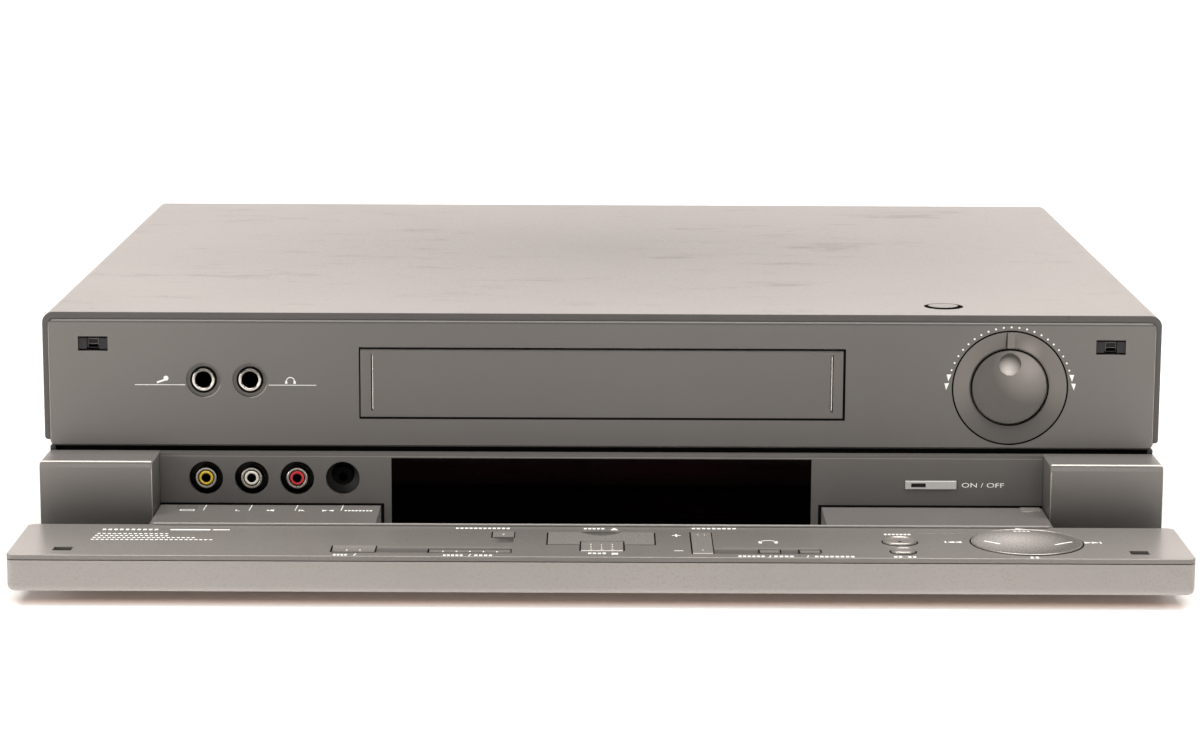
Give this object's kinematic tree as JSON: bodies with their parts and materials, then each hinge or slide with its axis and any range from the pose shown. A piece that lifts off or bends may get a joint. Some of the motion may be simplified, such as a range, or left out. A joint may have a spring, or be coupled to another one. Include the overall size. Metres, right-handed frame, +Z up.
{
  "type": "vhs video cassette recorder",
  "caption": "Front-loading video cassette recorder with a fold-down control flap, jog and shuttle dial, sprung cassette door and loading mechanism.",
  "frame": {"origin": "centre of the footprint of the whole recorder with its flap open, on the surface it stands on", "axes": "+Z up, -Y out of the front towards the user, +X to the right as the user sees it"},
  "size_m": [0.44, 0.427, 0.096],
  "materials": {
    "hood": "satin warm metallic grey",
    "panel": "satin warm metallic grey",
    "bezel": "satin warm metallic grey",
    "flap": "satin warm metallic grey",
    "keys": "satin warm metallic grey",
    "dial": "satin warm metallic grey",
    "black": "satin",
    "window": "smoked gloss",
    "jack_metal": "bright",
    "phono": "bright",
    "light_key": "satin",
    "rubber": "matt",
    "sheet": "plain zinc",
    "tray": "satin black",
    "board": "lacquered",
    "drum": "turned",
    "steel": "ground",
    "white_plastic": "satin"
  },
  "bodies": {
    "case": {"top_cover": "hood", "base_tray": "tray", "foot_pads": "rubber", "front_panel": "panel", "dial_encoder": "black", "latch_sockets": "black", "left_end_block": "bezel", "right_end_block": "bezel", "jack_panel": "bezel", "display_window": "window", "front_board": "board", "microphone_jack": "jack_metal", "headphone_jack": "jack_metal", "video_jack": "phono", "left_audio_jack": "phono", "right_audio_jack": "phono", "edit_socket": "black", "deck_plate": "sheet", "loading_frame": "sheet", "lower_drum": "drum", "capstan_motor": "steel", "tape_guides": "steel", "main_board": "board", "power_supply": "board", "tuner": "sheet", "rear_panel": "tray", "scart_sockets": "black", "mains_inlet": "black"},
    "flap": {"flap_shell": "flap", "control_plate": "flap", "left_arm": "flap", "right_arm": "flap", "flap_board": "board"},
    "cassette_door": {"cassette_door": "panel"},
    "shuttle_ring": {"shuttle_ring": "dial"},
    "jog_dial": {"jog_dial": "dial"},
    "left_latch": {"left_latch": "black"},
    "right_latch": {"right_latch": "black"},
    "release_button": {"release_button": "hood"},
    "standby_button": {"standby_button": "light_key"},
    "eject_button": {"eject_button": "keys"},
    "stop_button": {"stop_button": "keys"},
    "programme_rocker": {"programme_rocker": "keys"},
    "play_pad": {"play_pad": "keys"},
    "pad_gimbal": {"pad_gimbal": "white_plastic"},
    "menu_key": {"menu_key": "keys"},
    "index_key": {"index_key": "keys"},
    "dubbing_key": {"dubbing_key": "keys"},
    "stereo_key": {"stereo_key": "keys"},
    "select_key": {"select_key": "keys"},
    "record_button": {"record_button": "keys"},
    "speed_button": {"speed_button": "keys"},
    "holder_slider": {"holder_slider": "sheet"},
    "cassette_holder": {"cassette_holder": "sheet"},
    "upper_drum": {"upper_drum": "drum"},
    "capstan": {"capstan": "steel"},
    "pinch_arm": {"pinch_arm": "sheet"},
    "pinch_roller": {"pinch_roller": "rubber"},
    "supply_reel": {"supply_reel": "white_plastic"},
    "takeup_reel": {"takeup_reel": "white_plastic"}
  },
  "joints": [
    {"name": "flap_hinge", "type": "hinge", "parent": "case", "child": "flap", "pos_m": [0, -0.1369, 0.0169], "axis": [-1, 0, 0], "range_deg": [0, 90]},
    {"name": "cassette_door_hinge", "type": "hinge", "parent": "case", "child": "cassette_door", "pos_m": [0, -0.12085, 0.08075], "axis": [1, 0, 0], "range_deg": [0, 90], "stiffness_Nm_per_rad": 0.02},
    {"name": "shuttle_turn", "type": "hinge", "parent": "case", "child": "shuttle_ring", "pos_m": [0.1608, -0.1221, 0.0673], "axis": [0, -1, 0], "range_deg": [-70, 70], "stiffness_Nm_per_rad": 0.05},
    {"name": "jog_turn", "type": "hinge", "parent": "case", "child": "jog_dial", "pos_m": [0.1608, -0.1221, 0.0673], "axis": [0, -1, 0], "continuous": true},
    {"name": "left_latch_slide", "type": "slide", "parent": "case", "child": "left_latch", "axis": [0, -1, 0], "range_m": [0, 0.0145], "stiffness_N_per_m": 100},
    {"name": "right_latch_slide", "type": "slide", "parent": "case", "child": "right_latch", "axis": [0, -1, 0], "range_m": [0, 0.0145], "stiffness_N_per_m": 100},
    {"name": "release_press", "type": "slide", "parent": "case", "child": "release_button", "axis": [0, 0, -1], "range_m": [0, 0.002], "stiffness_N_per_m": 500},
    {"name": "standby_press", "type": "slide", "parent": "case", "child": "standby_button", "axis": [0, 1, 0], "range_m": [0, 0.0006], "stiffness_N_per_m": 400},
    {"name": "eject_press", "type": "slide", "parent": "flap", "child": "eject_button", "axis": [0, 0, -1], "range_m": [0, 0.0006], "stiffness_N_per_m": 400},
    {"name": "stop_press", "type": "slide", "parent": "flap", "child": "stop_button", "axis": [0, 0, -1], "range_m": [0, 0.0006], "stiffness_N_per_m": 400},
    {"name": "menu_press", "type": "slide", "parent": "flap", "child": "menu_key", "axis": [0, 0, -1], "range_m": [0, 0.0006], "stiffness_N_per_m": 400},
    {"name": "index_press", "type": "slide", "parent": "flap", "child": "index_key", "axis": [0, 0, -1], "range_m": [0, 0.0006], "stiffness_N_per_m": 400},
    {"name": "dubbing_press", "type": "slide", "parent": "flap", "child": "dubbing_key", "axis": [0, 0, -1], "range_m": [0, 0.0006], "stiffness_N_per_m": 400},
    {"name": "stereo_press", "type": "slide", "parent": "flap", "child": "stereo_key", "axis": [0, 0, -1], "range_m": [0, 0.0006], "stiffness_N_per_m": 400},
    {"name": "select_press", "type": "slide", "parent": "flap", "child": "select_key", "axis": [0, 0, -1], "range_m": [0, 0.0006], "stiffness_N_per_m": 400},
    {"name": "record_press", "type": "slide", "parent": "flap", "child": "record_button", "axis": [0, 0, -1], "range_m": [0, 0.0006], "stiffness_N_per_m": 400},
    {"name": "speed_press", "type": "slide", "parent": "flap", "child": "speed_button", "axis": [0, 0, -1], "range_m": [0, 0.0006], "stiffness_N_per_m": 400},
    {"name": "programme_rock", "type": "hinge", "parent": "flap", "child": "programme_rocker", "pos_m": [0.03787, -0.1907, 0.0166], "axis": [1, 0, 0], "range_deg": [-1.5, 1.5], "stiffness_Nm_per_rad": 0.6},
    {"name": "pad_tip_sideways", "type": "hinge", "parent": "flap", "child": "pad_gimbal", "pos_m": [0.1602, -0.1881, 0.01575], "axis": [0, 1, 0], "range_deg": [-1.5, 1.5], "stiffness_Nm_per_rad": 0.6},
    {"name": "pad_tip_lengthways", "type": "hinge", "parent": "pad_gimbal", "child": "play_pad", "pos_m": [0.1602, -0.1881, 0.01575], "axis": [1, 0, 0], "range_deg": [-1.5, 1.5], "stiffness_Nm_per_rad": 0.6},
    {"name": "holder_in", "type": "slide", "parent": "case", "child": "holder_slider", "axis": [0, 1, 0], "range_m": [0, 0.062]},
    {"name": "holder_down", "type": "slide", "parent": "holder_slider", "child": "cassette_holder", "axis": [0, 0, -1], "range_m": [0, 0.019]},
    {"name": "drum_turn", "type": "hinge", "parent": "case", "child": "upper_drum", "pos_m": [0, 0.0649, 0.0316], "axis": [0.104, 0, 0.9946], "continuous": true},
    {"name": "capstan_turn", "type": "hinge", "parent": "case", "child": "capstan", "pos_m": [0.062, 0.0279, 0.0276], "axis": [0, 0, 1], "continuous": true},
    {"name": "pinch_swing", "type": "hinge", "parent": "case", "child": "pinch_arm", "pos_m": [0.085, 0.0372, 0.0336], "axis": [0, 0, 1], "range_deg": [0, 25], "stiffness_Nm_per_rad": 0.02},
    {"name": "roller_turn", "type": "hinge", "parent": "pinch_arm", "child": "pinch_roller", "pos_m": [0.06416, 0.04692, 0.0356], "axis": [0, 0, 1], "continuous": true},
    {"name": "supply_turn", "type": "hinge", "parent": "case", "child": "supply_reel", "pos_m": [-0.046, -0.0311, 0.0288], "axis": [0, 0, 1], "continuous": true},
    {"name": "takeup_turn", "type": "hinge", "parent": "case", "child": "takeup_reel", "pos_m": [0.046, -0.0311, 0.0288], "axis": [0, 0, 1], "continuous": true}
  ]
}
